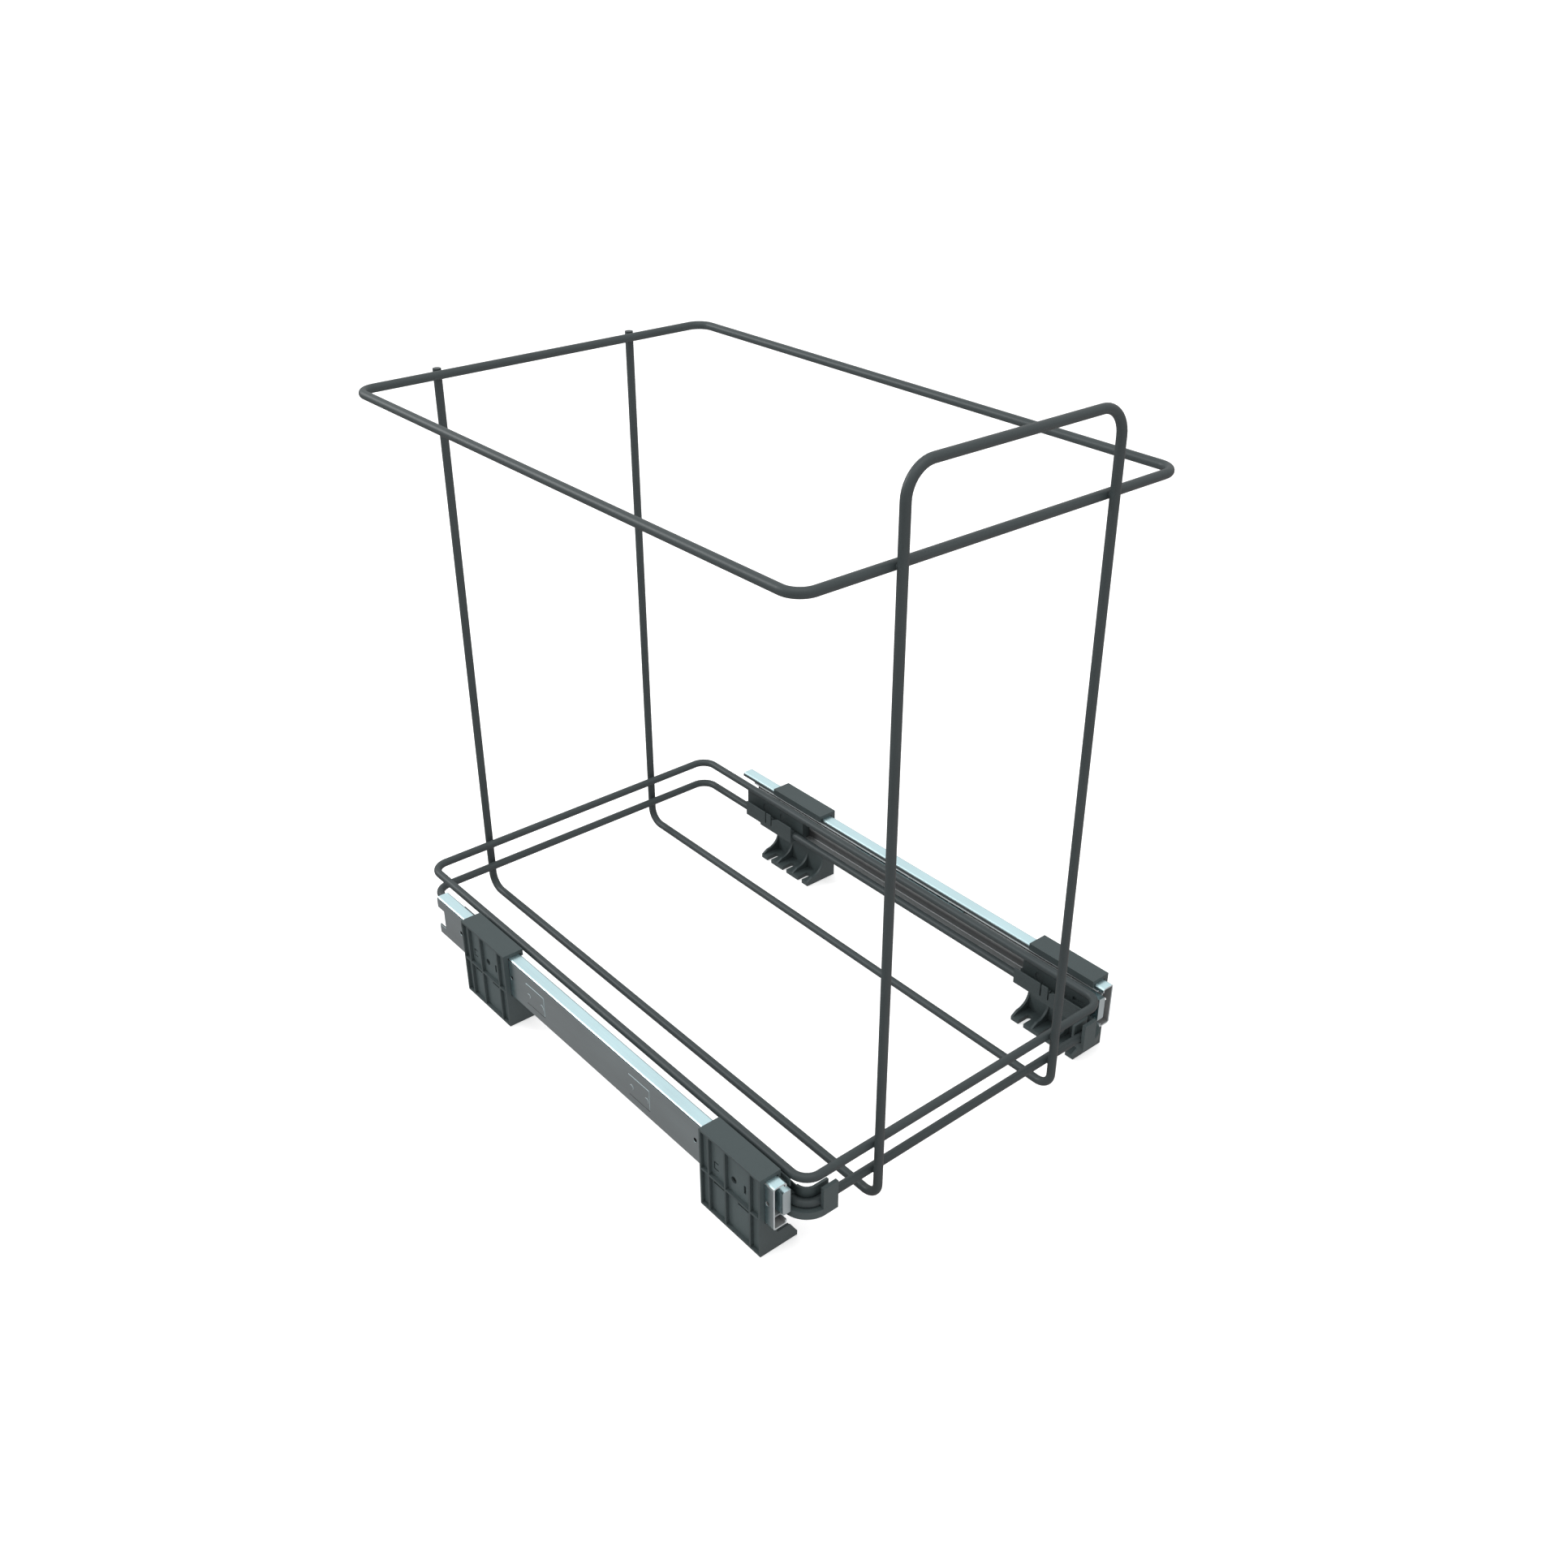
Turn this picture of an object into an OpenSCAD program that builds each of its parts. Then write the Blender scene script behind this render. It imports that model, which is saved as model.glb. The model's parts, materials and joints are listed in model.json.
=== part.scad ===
// Pull out bin frame: a welded wire carrier that clips onto two telescopic
// ball slides, which sit in four moulded brackets on the cabinet floor.
// Millimetres, +Z up, the front with the handle faces -Y.
// The origin lies on the cabinet floor under the middle of the frame.

/* [Wire carrier] */
// Diameter of the wire
wire_d = 6; // [5:0.1:7]
// Depth of the three rings, between wire centres
ring_depth = 448; // [430:1:480]
// Width of the two base rings, between wire centres
base_w = 270; // [240:1:320]
// Width of the top ring, between wire centres
top_w = 286; // [240:1:330]
// Corner radius of the rings at the wire centre
ring_r = 12; // [9:0.5:20]
// Distance between the two loops of the carrier wire, between wire centres
loop_gap = 160; // [120:1:200]
// Bend radius between a runner and its posts
runner_r = 12; // [8:0.5:14]
// Bend radius at the ends of the handle
handle_r = 18; // [12:0.5:30]
// Height of the runners above the floor
runner_z = 14.5; // [10:0.5:18]
// Height of the lower base ring above the floor
lower_z = 36; // [34:0.5:40]
// Distance from the lower to the upper base ring
base_pitch = 20.5; // [18:0.5:30]
// Distance from the upper base ring to the top ring
basket_h = 378; // [250:1:450]
// Height of the handle bar above the top ring
handle_h = 52; // [40:1:80]
// Height of the cut ends of the back posts above the top ring
stub_h = 3.2; // [3:0.1:12]
// Gap left at the welded crossings
weld_gap = 0.05; // [0.02:0.01:0.2]

/* [Slides] */
// Length of the outer rail
slide_len = 400; // [380:5:420]
// Height of the outer rail
slide_h = 33.5; // [31:0.5:36]
// Thickness of the slide across the outer rail
slide_t = 10.4; // [9.8:0.1:12]
// Depth of the inner rail
inner_t = 6.2; // [5.8:0.1:6.8]
// How far the inner rail stands out of the outer rail
inner_proud = 3.1; // [2.5:0.1:3.6]
// Sheet thickness of the rails
sheet = 1.2; // [1:0.1:1.4]
// Bend radius of the outer rail's corners
rail_r = 2; // [1.6:0.1:2.6]
// Bend radius of the middle and the inner rail's corners
stage_r = 1.4; // [1.2:0.1:2]
// Height of the turned-in lips of the outer rail
rail_lip = 3.4; // [3:0.1:4.2]
// Length of the middle and the inner rail
stage_len = 380; // [360:5:390]
// Distance of the middle rail's front end behind the outer rail's
mid_setback = 5; // [3:0.5:6]
// Distance of the slide's front end behind the front of the rings
slide_setback = 5.7; // [4:0.1:9]
// Height of the slide's middle above the lower base ring
slide_lift = 6.6; // [5:0.1:8]
// Diameter of the bearing balls
ball_d = 2.2; // [2:0.1:2.4]
// Running gap of the balls at each race
ball_gap = 0.2; // [0.15:0.05:0.3]
// Number of balls in a row
ball_n = 5; // [3:1:6]
// Distance between the balls of a row
ball_pitch = 22; // [15:1:23]
// Length of a ball cage
cage_len = 120; // [118:1:150]
// Sheet thickness of the ball cages
cage_t = 0.5; // [0.4:0.1:0.7]
// Depth of the catch notch at the back of the outer rail
notch_d = 9; // [6:0.5:9]
// Height of the catch notch
notch_h = 15.6; // [12:0.2:18]
// Diameter of the fixing holes in the outer rail
web_hole = 3.4; // [3:0.1:5]
// Distance of the first fixing hole from the slide's front end
hole_front = 5.5; // [4:0.1:6]
// Distance of the second fixing hole behind the front bracket
hole_behind = 9; // [5:0.5:12]
// Distance of the third fixing hole in front of the back bracket
hole_before = 3; // [2.8:0.1:8]
// Distance of the last fixing hole behind the back bracket
hole_last = 9.5; // [6:0.5:14]
// Height of the fixing holes above the slide's middle
hole_lift = 1.4; // [0:0.1:2]
// Distance of the pressed pads from the slide's middle
pad_y = 63; // [50:0.5:72]
// Length of the pressed pads on the outer rail
pad_l = 23; // [16:1:30]
// Height of the pressed pads
pad_h = 16.6; // [12:0.2:18]
// How far the pads stand proud
pad_out = 0.2; // [0.15:0.05:0.5]
// Width of the slit under each pressed pad
pad_slit = 0.8; // [0.5:0.1:1.2]
// Diameter of the two studs on each pressed pad
stud_d = 4; // [3:0.2:5]
// Distance between the two studs of a pad
stud_pitch = 17; // [10:0.5:18]
// Length of the rubber buffer
buffer_l = 4.6; // [3:0.1:5]
// Height of the rubber buffer
buffer_h = 7; // [5:0.5:9]

/* [Brackets] */
// Length of a bracket along the slide
bracket_len = 59.5; // [57:0.5:70]
// Distance of the front bracket behind the slide's front end
bracket_setback = 8; // [6:0.5:12]
// Distance of the back bracket from the slide's back end
bracket_back = 43.4; // [38:0.2:50]
// Wall of the bracket behind the ribs
bracket_wall = 1.4; // [1.2:0.1:2]
// Depth of the rib field on the outer face
rib_h = 2.4; // [1.6:0.1:3]
// Thickness of the ribs
rib_t = 1.5; // [1:0.1:2]
// Height of the middle rib above the floor
rib_z = 30.4; // [29:0.2:34]
// Distance of the first upright rib from the bracket's back end
rib_first = 9; // [7:0.2:11]
// Distance of the second upright rib from the bracket's back end
rib_second = 25.4; // [24:0.2:28]
// Distance of the last upright rib from the bracket's front end
rib_last = 10; // [8:0.2:12]
// Thickness of the roof over the slide
roof_t = 3; // [2.4:0.1:4]
// Thickness of the roof's inner hook
hook_t = 1.8; // [1.4:0.1:2.2]
// Depth of the roof's inner hook
hook_h = 2.4; // [1.6:0.1:2.6]
// How far the foot reaches past the seat block
foot_reach = 17.2; // [15:0.2:18]
// Thickness of the foot
foot_t = 3.4; // [3:0.1:4.5]
// Distance of the seat block's inner face behind the outer rail's edge
block_in = 1.9; // [1:0.1:3]
// Width of the screw slots in the foot
slot_w = 5; // [4:0.2:5.6]
// Length of the screw slots
slot_l = 11.6; // [9:0.2:13]
// Distance between the screw slots
slot_pitch = 20; // [18:0.5:21]
// Thickness of the gussets on the foot
gusset_t = 1.9; // [1.2:0.1:2.4]
// Radius of the gussets' hollow curve
gusset_r = 12; // [9:0.5:12]
// Height of the gussets' foot where the curve begins
gusset_h = 3.1; // [2:0.1:4]
// Height of the level ledge at the front of the left brackets
ledge_h = 9.3; // [8:0.1:12]
// Diameter of the sight hole in the bracket's wall
sight_d = 5; // [4:0.2:6]
// Distance of the spring latch from the bracket's back end
latch_y = 14.3; // [13.8:0.1:17]
// Width of the spring latch in the bracket's wall
latch_w = 4.6; // [3:0.2:5]
// Height of the spring latch
latch_h = 6.4; // [5:0.2:8]
// Width of the slits in the bracket's wall
cut_w = 1.5; // [1:0.1:2]

/* [Holders] */
// Wall of a holder between wire and slide
holder_wall = 2.5; // [2:0.1:3.5]
// Thickness of the sleeve that snaps round the wire
lip_t = 1; // [0.8:0.1:1.4]
// Thickness of the holder under the wire
jaw_t = 1.2; // [1:0.1:2]
// Depth of the keel under the holder
keel_h = 1.8; // [1:0.1:3]
// Distance of the keel from the holder's back end
keel_y = 18.8; // [12:0.2:22]
// Length of the straight part of a front holder
front_len = 64; // [58:0.5:74]
// How much shorter the front holder's wall is at the back
front_step = 2; // [1:0.5:4]
// Length of a back holder
back_len = 58.5; // [56:0.5:70]
// How far the back holder's wall reaches past its sleeve at each end
wall_over = 7; // [3:0.5:10]
// Depth of the corner's skirt under the holder
skirt_h = 3.6; // [2:0.1:5]
// How far the corner's skirt stands out
skirt_out = 0.2; // [0.1:0.1:0.6]
// Depth of the corner's outer lip below the wire's centre
lip_drop = 2.5; // [1.5:0.1:3]
// Thickness of the corner's wall behind the wire
corner_t = 1.9; // [1.2:0.1:2]
// Height of the corner's wall above the lower base ring
corner_h = 8.5; // [5:0.5:12]
// Width of the front clip
clip_l = 10.2; // [8:0.1:16]
// How far the front clip's tab reaches round the corner
clip_over = 1.6; // [0.5:0.1:2]
// Height of the tab above the lower base ring
clip_h = 13.5; // [10:0.5:17]
// Length of the finger slot in a front holder's wall
finger_l = 10; // [6:0.5:12]
// Height of the finger slot
finger_h = 3; // [2:0.2:4]
// Width of the slits beside the spring tongue
slit_w = 1.2; // [0.8:0.1:1.6]
// Depth of the slits' ends below the wire's centre
slit_d = 1.8; // [1:0.1:2.4]
// Width of the spring tongue
tongue_w = 6; // [4:0.2:9]
// Distance of the spring tongue from the holder's back end
tongue_y = 25.7; // [22:0.1:30]
// Distance of the screws' middle from the holder's back end
screw_y = 29; // [27:0.5:32]
// Diameter of the holder screws
screw_d = 4; // [3:0.5:4]
// Diameter of the screw heads
screw_head = 7.6; // [6.5:0.1:8.5]
// Distance between the two screws of a holder
screw_pitch = 22; // [16:1:30]

/* [Fits] */
// Gap round wires, screws and pieces that slide into each other
fit_gap = 0.2; // [0.1:0.05:0.3]
// Gap between faces that rest on each other
seat_gap = 0.1; // [0.05:0.05:0.2]

/* [Hidden] */
$fn = 48;

// Colours as seen
wire_col = [0.27, 0.29, 0.30];
moulded_col = [0.30, 0.35, 0.36];
zinc_col = [0.80, 0.83, 0.84];
steel_col = [0.70, 0.71, 0.72];
rubber_col = [0.12, 0.12, 0.12];

// Wire carrier
wire_r = wire_d / 2;
upper_z = lower_z + base_pitch;
top_z = upper_z + basket_h;
handle_z = top_z + handle_h;
post_y = ring_depth / 2 + wire_d + weld_gap;
loop_x = loop_gap / 2;

// Stack of the slide across its thickness, from the wire outwards
cradle_r = wire_r + fit_gap;
plate_in = base_w / 2 + cradle_r;
plate_out = plate_in + holder_wall;
inner_in = plate_out + seat_gap;
inner_out = inner_in + inner_t;
outer_in = inner_in + inner_proud;
outer_out = outer_in + slide_t;
wall_in = outer_out + seat_gap;
bracket_out = wall_in + bracket_wall + rib_h;

// Stack of the slide over its height
race = ball_d + 2 * ball_gap;
mid_h = slide_h - 2 * (sheet + race);
inner_h = mid_h - 2 * (sheet + race);
slide_z = lower_z + slide_lift;
seat_z = slide_z - slide_h / 2 - seat_gap;
roof_z = slide_z + slide_h / 2 + seat_gap;
bracket_h = roof_z + roof_t;

// Webs of the middle rail and of the two cages share the gaps between the rails
web_gap = (outer_out - sheet - inner_out - 2 * cage_t - sheet) / 4;
mid_out = outer_out - sheet - 2 * web_gap - cage_t;
outer_cage_x = mid_out + web_gap;
inner_cage_x = inner_out + web_gap;
outer_row_z = mid_h / 2 + race / 2;
inner_row_z = inner_h / 2 + race / 2;
outer_row_x = mid_out - (mid_out - outer_in - sheet) / 2;
inner_row_x = (outer_in + inner_out) / 2;

// Places along the slide
slide_front = -ring_depth / 2 + slide_setback;
slide_back = slide_front + slide_len;
mid_front = slide_front + mid_setback;
mid_back = mid_front + stage_len;
inner_back = slide_front + stage_len;
cage_y = (mid_front + mid_back) / 2;
bracket_front_y = slide_front + bracket_setback;
bracket_back_y = slide_back - bracket_back - bracket_len;

// Bracket
hook_out = outer_in - fit_gap;
hook_in = hook_out - hook_t;
block_x = outer_in + block_in;
foot_x = block_x - foot_reach;
gusset_z = foot_t + gusset_r + gusset_h;
cell_x = bracket_out - rib_h;

// Holder
sleeve_r = cradle_r + lip_t;
wall_u = cradle_r + holder_wall;
jaw_z = lower_z - cradle_r - jaw_t;
keel_z = jaw_z - keel_h;
skirt_z = jaw_z - skirt_h;
plate_z = slide_z + inner_h / 2 - sheet - fit_gap;
block_r = stage_r - sheet / 2;
corner_x = base_w / 2 - ring_r;
corner_y = -(ring_depth / 2 - ring_r);
front_end = corner_y + front_len;
back_end = inner_back;
clip_y = -(ring_depth / 2 + wall_u);

// Straight wires along the three axes
module bar_x(x0, x1, y, z) translate([x0, y, z]) rotate([0, 90, 0])
    cylinder(d = wire_d, h = x1 - x0);
module bar_y(x, y0, y1, z) translate([x, y1, z]) rotate([90, 0, 0])
    cylinder(d = wire_d, h = y1 - y0);
module bar_z(x, y, z0, z1) translate([x, y, z0]) cylinder(d = wire_d, h = z1 - z0);

// Quarter bend about the local Z axis
module bend(r, from) rotate([0, 0, from]) rotate_extrude(angle = 90)
    translate([r, 0]) circle(d = wire_d);

// Closed ring with rounded corners
module ring(w, z) {
    x = w / 2;
    y = ring_depth / 2;
    for (s = [-1, 1]) {
        bar_x(-x + ring_r, x - ring_r, s * y, z);
        bar_y(s * x, -y + ring_r, y - ring_r, z);
    }
    for (q = [0 : 3])
        translate([(q == 0 || q == 3 ? 1 : -1) * (x - ring_r), (q < 2 ? 1 : -1) * (y - ring_r), z])
            bend(ring_r, 90 * q);
}

// One side loop of the carrier wire: back post, runner and front post
module side_loop(x) {
    z = runner_z + runner_r;
    bar_z(x, post_y, z, top_z + stub_h);
    bar_y(x, -post_y + runner_r, post_y - runner_r, runner_z);
    bar_z(x, -post_y, z, handle_z - handle_r);
    translate([x, post_y - runner_r, z]) rotate([90, 0, 90]) bend(runner_r, -90);
    translate([x, -post_y + runner_r, z]) rotate([90, 0, 90]) bend(runner_r, 180);
}

// Profile in the XZ plane drawn out along Y
module along_y(y0, y1) translate([0, y1, 0]) rotate([90, 0, 0]) linear_extrude(y1 - y0) children();

// Rectangle between two corners
module span(x0, x1, z0, z1) translate([x0, z0]) square([x1 - x0, z1 - z0]);

// Rectangle between two corners with round corners
module round_span(x0, x1, z0, z1, r) {
    span(x0 + r, x1 - r, z0, z1);
    span(x0, x1, z0 + r, z1 - r);
    for (x = [x0 + r, x1 - r], z = [z0 + r, z1 - r]) translate([x, z]) circle(r = r);
}

// Open channel with its web outside and bent corners, mouth towards the frame
module channel(x0, x1, h, r) {
    difference() {
        round_span(x0 - r, x1, slide_z - h / 2, slide_z + h / 2, r);
        round_span(x0 - 2 * r, x1 - sheet, slide_z - h / 2 + sheet, slide_z + h / 2 - sheet,
                   r - sheet / 2);
        span(x0 - 2 * r - 1, x0, slide_z - h, slide_z + h);
    }
}

module outer_profile() {
    z0 = slide_z - slide_h / 2;
    z1 = slide_z + slide_h / 2;
    difference() {
        round_span(outer_in, outer_out, z0, z1, rail_r);
        round_span(outer_in + sheet, outer_out - sheet, z0 + sheet, z1 - sheet, rail_r - sheet);
        span(outer_in - 1, outer_in + 1.5 * sheet, z0 + rail_lip, z1 - rail_lip);
    }
}

// Fixing hole through the web at a distance from the slide's front end
module web_bore(dy, d) translate([outer_out - 2 * sheet, slide_front + dy, slide_z + hole_lift])
    rotate([0, 90, 0]) cylinder(d = d, h = 4 * sheet);

module outer_rail() {
    difference() {
        along_y(slide_front, slide_back) outer_profile();
        for (dy = [hole_front, bracket_setback + bracket_len + hole_behind])
            web_bore(dy, web_hole);
        for (dy = [-bracket_len - hole_before, hole_last])
            web_bore(slide_len - bracket_back + dy, web_hole);
        translate([outer_out - 2 * sheet, slide_back - notch_d, slide_z - notch_h / 2])
            cube([4 * sheet, notch_d + 1, notch_h]);
        for (y = pad_rows())
            translate([outer_out - 2 * sheet, y - pad_l / 2, slide_z - pad_h / 2 - pad_slit])
                cube([4 * sheet, pad_l, pad_slit]);
    }
    for (y = pad_rows()) {
        translate([outer_out - sheet / 2, y - pad_l / 2, slide_z - pad_h / 2])
            cube([sheet / 2 + pad_out, pad_l, pad_h]);
        for (s = [-1, 1])
            translate([outer_out - sheet / 2, y + s * stud_pitch / 2, slide_z - stud_d / 3])
                rotate([0, 90, 0]) cylinder(d = stud_d, h = sheet / 2 + 2 * pad_out);
    }
}

// Middles of the pressed pads along the slide
function pad_rows() = [for (s = [-1, 1]) slide_front + slide_len / 2 + s * pad_y];

module middle_rail() along_y(mid_front, mid_back) channel(outer_in, mid_out, mid_h, stage_r);

module inner_rail() {
    difference() {
        along_y(slide_front, inner_back) channel(inner_in, inner_out, inner_h, stage_r);
        for (y = screw_rows()) screw_bore(y, screw_d + 2 * fit_gap);
    }
    translate([inner_in, slide_front, slide_z - inner_h / 2 + sheet / 2])
        cube([inner_t - sheet / 2, sheet, inner_h - sheet]);
}

// Rubber block that the middle rail closes against
module rail_buffer() {
    x0 = mid_out - 2 * sheet;
    translate([x0, mid_back + fit_gap, slide_z - notch_h / 2])
        cube([outer_out - sheet - seat_gap - x0, buffer_l, buffer_h]);
}

// Cage of one pair of ball rows: a web strip with a perforated flange at each row
module cage(web_x, row_x, row_z) {
    y0 = cage_y - cage_len / 2;
    translate([web_x, y0, slide_z - row_z - cage_t / 2]) cube([cage_t, cage_len, 2 * row_z + cage_t]);
    for (s = [-1, 1])
        difference() {
            translate([row_x - ball_d, y0, slide_z + s * row_z - cage_t / 2])
                cube([web_x - row_x + ball_d + cage_t / 2, cage_len, cage_t]);
            for (y = ball_rows()) translate([row_x, y, slide_z + s * row_z - ball_d])
                cylinder(d = ball_d + 2 * ball_gap, h = 2 * ball_d);
        }
}

module balls(row_x, row_z)
    for (s = [-1, 1], y = ball_rows()) translate([row_x, y, slide_z + s * row_z]) sphere(d = ball_d);

function ball_rows() = [for (i = [0 : ball_n - 1]) cage_y + (i - (ball_n - 1) / 2) * ball_pitch];

// Positions of the holder screws along the slide
function screw_rows() = [
    for (m = [front_end - screw_y, back_end - screw_y], s = [-1, 1]) m + s * screw_pitch / 2
];
module screw_bore(y, d) translate([plate_in - 1, y, slide_z]) rotate([0, 90, 0])
    cylinder(d = d, h = inner_out - plate_in + 2);

// Bracket profiles
module gusset_profile() {
    difference() {
        polygon([[foot_x, 0], [foot_x, foot_t], [block_x - gusset_r, foot_t + gusset_h],
                 [block_x - gusset_r, gusset_z], [block_x + 1, gusset_z], [block_x + 1, 0]]);
        translate([block_x - gusset_r, gusset_z]) circle(r = gusset_r);
    }
}

module ledge_profile() {
    z = foot_t + ledge_h;
    polygon([[foot_x, 0], [foot_x, foot_t], [foot_x + ledge_h / 4, foot_t + ledge_h / 3],
             [foot_x + ledge_h * 0.7, z], [block_x - ledge_h / 8, z], [block_x, gusset_z],
             [block_x + 1, gusset_z], [block_x + 1, 0]]);
}

module body_profile() {
    span(block_x, bracket_out, 0, seat_z);
    span(wall_in, bracket_out, 0, bracket_h);
    span(hook_in, bracket_out, roof_z, bracket_h);
    span(hook_in, hook_out, roof_z - hook_h, bracket_h);
    span(foot_x, bracket_out, 0, foot_t);
}

// Rib field: four columns and two rows of shallow cells, measured from the back end
function rib_lines() =
    [rib_t / 2, rib_first, rib_second, bracket_len - rib_last, bracket_len - rib_t / 2];
module rib_cells(y1) {
    rows = [[rib_t, rib_z - rib_t / 2], [rib_z + rib_t / 2, bracket_h - rib_t]];
    cols = rib_lines();
    for (c = [0 : 3], r = rows)
        translate([cell_x, y1 - cols[c + 1] + rib_t / 2, r[0]])
            cube([rib_h + 1, cols[c + 1] - cols[c] - rib_t, r[1] - r[0]]);
}

// Latch slit, sight hole and slots in the upper and lower cells
module wall_cuts(y1) {
    cols = rib_lines();
    x = wall_in - 1;
    l = bracket_wall + 2;
    translate([x, y1 - latch_y - latch_w / 2, slide_z - 0.9 * latch_h]) difference() {
        cube([l, latch_w, latch_h]);
        translate([-1, -1, latch_h / 6]) cube([l + 2, latch_w, latch_h * 2 / 3]);
    }
    translate([x, y1 - cols[2] - 1.26 * sight_d, slide_z - sight_d / 5])
        rotate([0, 90, 0]) cylinder(d = sight_d, h = l);
    translate([x, y1 - cols[3] + 1.2 * sight_d, slide_z - 0.9 * sight_d])
        cube([l, 0.4 * sight_d, 1.3 * sight_d]);
    for (c = [1, 2])
        translate([x, y1 - cols[c + 1] + 2.4 * rib_t, rib_z - rib_t / 2 - cut_w])
            cube([l, 7 * cut_w, cut_w]);
}

module foot_slot(y) {
    translate([foot_x - 1, y - slot_w / 2, -1]) cube([slot_l - slot_w / 2 + 1, slot_w, foot_t + 2]);
    translate([foot_x + slot_l - slot_w / 2, y, -1]) cylinder(d = slot_w, h = foot_t + 2);
}

module bracket(y0, ledge) {
    y1 = y0 + bracket_len;
    mid = (y0 + y1) / 2;
    difference() {
        union() {
            along_y(y0, y1) body_profile();
            for (y = [mid - slot_pitch / 2, mid + slot_pitch / 2])
                along_y(y - gusset_t / 2, y + gusset_t / 2) gusset_profile();
            along_y(y1 - gusset_t, y1) gusset_profile();
            if (ledge) along_y(y0, y0 + gusset_t) ledge_profile();
            else along_y(y0, y0 + gusset_t) gusset_profile();
        }
        rib_cells(y1);
        wall_cuts(y1);
        for (k = [-1 : 1]) foot_slot(mid + k * slot_pitch);
    }
}

// Holder profile: u runs outwards from the wire's centre, v is the height.
// The sleeve is open between the top of the wire and the wall.
module holder_solid(bottom, top) {
    translate([0, lower_z]) circle(r = sleeve_r);
    span(-sleeve_r, wall_u, bottom, lower_z);
    span(cradle_r, wall_u, bottom, top);
}

module wire_room() {
    translate([0, lower_z]) circle(r = cradle_r);
    span(0, cradle_r, lower_z, upper_z);
}

module holder_profile(bottom, top) {
    difference() {
        holder_solid(bottom, top);
        wire_room();
    }
}

// Straight holder along the side of the lower base ring, with its wall and the block in the inner rail
module side_holder(y0, y1, w0, w1) {
    difference() {
        union() {
            translate([base_w / 2, 0, 0]) {
                along_y(y0, y1) holder_profile(jaw_z, lower_z + sleeve_r);
                along_y(y0, y1 - keel_y) span(-sleeve_r, wall_u, keel_z, jaw_z + jaw_t / 2);
            }
            along_y(w0, w1) span(plate_in, plate_out, jaw_z, plate_z);
            along_y(max(w0, slide_front + sheet + seat_gap), min(w1, inner_back - sheet))
                round_span(plate_in, inner_out - sheet - fit_gap,
                           2 * slide_z - plate_z, plate_z, block_r);
        }
        for (s = [0, 1])
            translate([base_w / 2 - 2 * sleeve_r, y1 - tongue_y - s * (tongue_w + slit_w) - slit_w / 2,
                       lower_z - slit_d])
                cube([2 * sleeve_r, slit_w, 3 * sleeve_r]);
        for (y = screw_rows()) {
            screw_bore(y, screw_d + 2 * fit_gap);
            translate([plate_in - 1, y, slide_z]) rotate([0, 90, 0])
                cylinder(d = screw_head + 2 * fit_gap, h = holder_wall);
        }
    }
}

// Part of a turn about the corner of the lower base ring
module corner_turn(from, angle) translate([corner_x, corner_y, 0]) rotate([0, 0, from])
    rotate_extrude(angle = angle) children();

// Corner: a channel under the wire that is open outwards, with a wall behind the wire
module corner_profile() {
    inside = -cradle_r - corner_t;
    difference() {
        union() {
            span(inside, wall_u + skirt_out, skirt_z, lower_z - lip_drop);
            span(inside, 0, skirt_z, lower_z + corner_h);
        }
        translate([0, lower_z]) circle(r = cradle_r);
        span(-cradle_r, 1, lower_z, lower_z + corner_h + 1);
    }
}

module holder_front() {
    difference() {
        side_holder(corner_y, front_end, corner_y, front_end - front_step);
        translate([plate_in - 1, corner_y + finger_l / 2, slide_z - finger_h / 2])
            cube([holder_wall, finger_l, finger_h]);
    }
    difference() {
        corner_turn(-90, 90) translate([ring_r, 0]) corner_profile();
        translate([plate_out + seat_gap / 2, slide_front - sheet / 2, 0])
            cube([2 * wall_u, ring_r, upper_z]);
    }
    translate([corner_x, 0, 0]) rotate([0, 0, -90])
        along_y(-clip_l, 0) translate([ring_depth / 2, 0]) corner_profile();
    translate([corner_x - clip_l, clip_y - skirt_out, skirt_z])
        cube([clip_l + clip_over, holder_wall + skirt_out, lower_z + clip_h - skirt_z]);
}

module holder_back()
    side_holder(back_end - back_len, back_end, back_end - back_len - wall_over, back_end + wall_over);

// Countersunk screws that fix a holder to the inner rail
module holder_screws() {
    for (y = screw_rows()) translate([plate_in + 0.3, y, slide_z]) rotate([0, 90, 0]) {
        cylinder(d = screw_d, h = inner_out - plate_in);
        difference() {
            cylinder(d = screw_head, h = holder_wall - 1.3 - seat_gap);
            translate([0, 0, -1]) cylinder(d = 2.6, h = 1.7, $fn = 6);
        }
    }
}

module left() mirror([1, 0, 0]) children();

module bracket_front_right() color(moulded_col) bracket(bracket_front_y, false);
module bracket_front_left() color(moulded_col) left() bracket(bracket_front_y, true);
module bracket_back_right() color(moulded_col) bracket(bracket_back_y, false);
module bracket_back_left() color(moulded_col) left() bracket(bracket_back_y, true);
module outer_rail_right() color(zinc_col) outer_rail();
module outer_rail_left() color(zinc_col) left() outer_rail();
module rail_buffer_right() color(rubber_col) rail_buffer();
module rail_buffer_left() color(rubber_col) left() rail_buffer();
module middle_rail_right() color(zinc_col) middle_rail();
module middle_rail_left() color(zinc_col) left() middle_rail();
module outer_cage_right() color(steel_col) cage(outer_cage_x, outer_row_x, outer_row_z);
module outer_cage_left() color(steel_col) left() cage(outer_cage_x, outer_row_x, outer_row_z);
module outer_balls_right() color(steel_col) balls(outer_row_x, outer_row_z);
module outer_balls_left() color(steel_col) left() balls(outer_row_x, outer_row_z);
module inner_cage_right() color(steel_col) cage(inner_cage_x, inner_row_x, inner_row_z);
module inner_cage_left() color(steel_col) left() cage(inner_cage_x, inner_row_x, inner_row_z);
module inner_balls_right() color(steel_col) balls(inner_row_x, inner_row_z);
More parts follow.
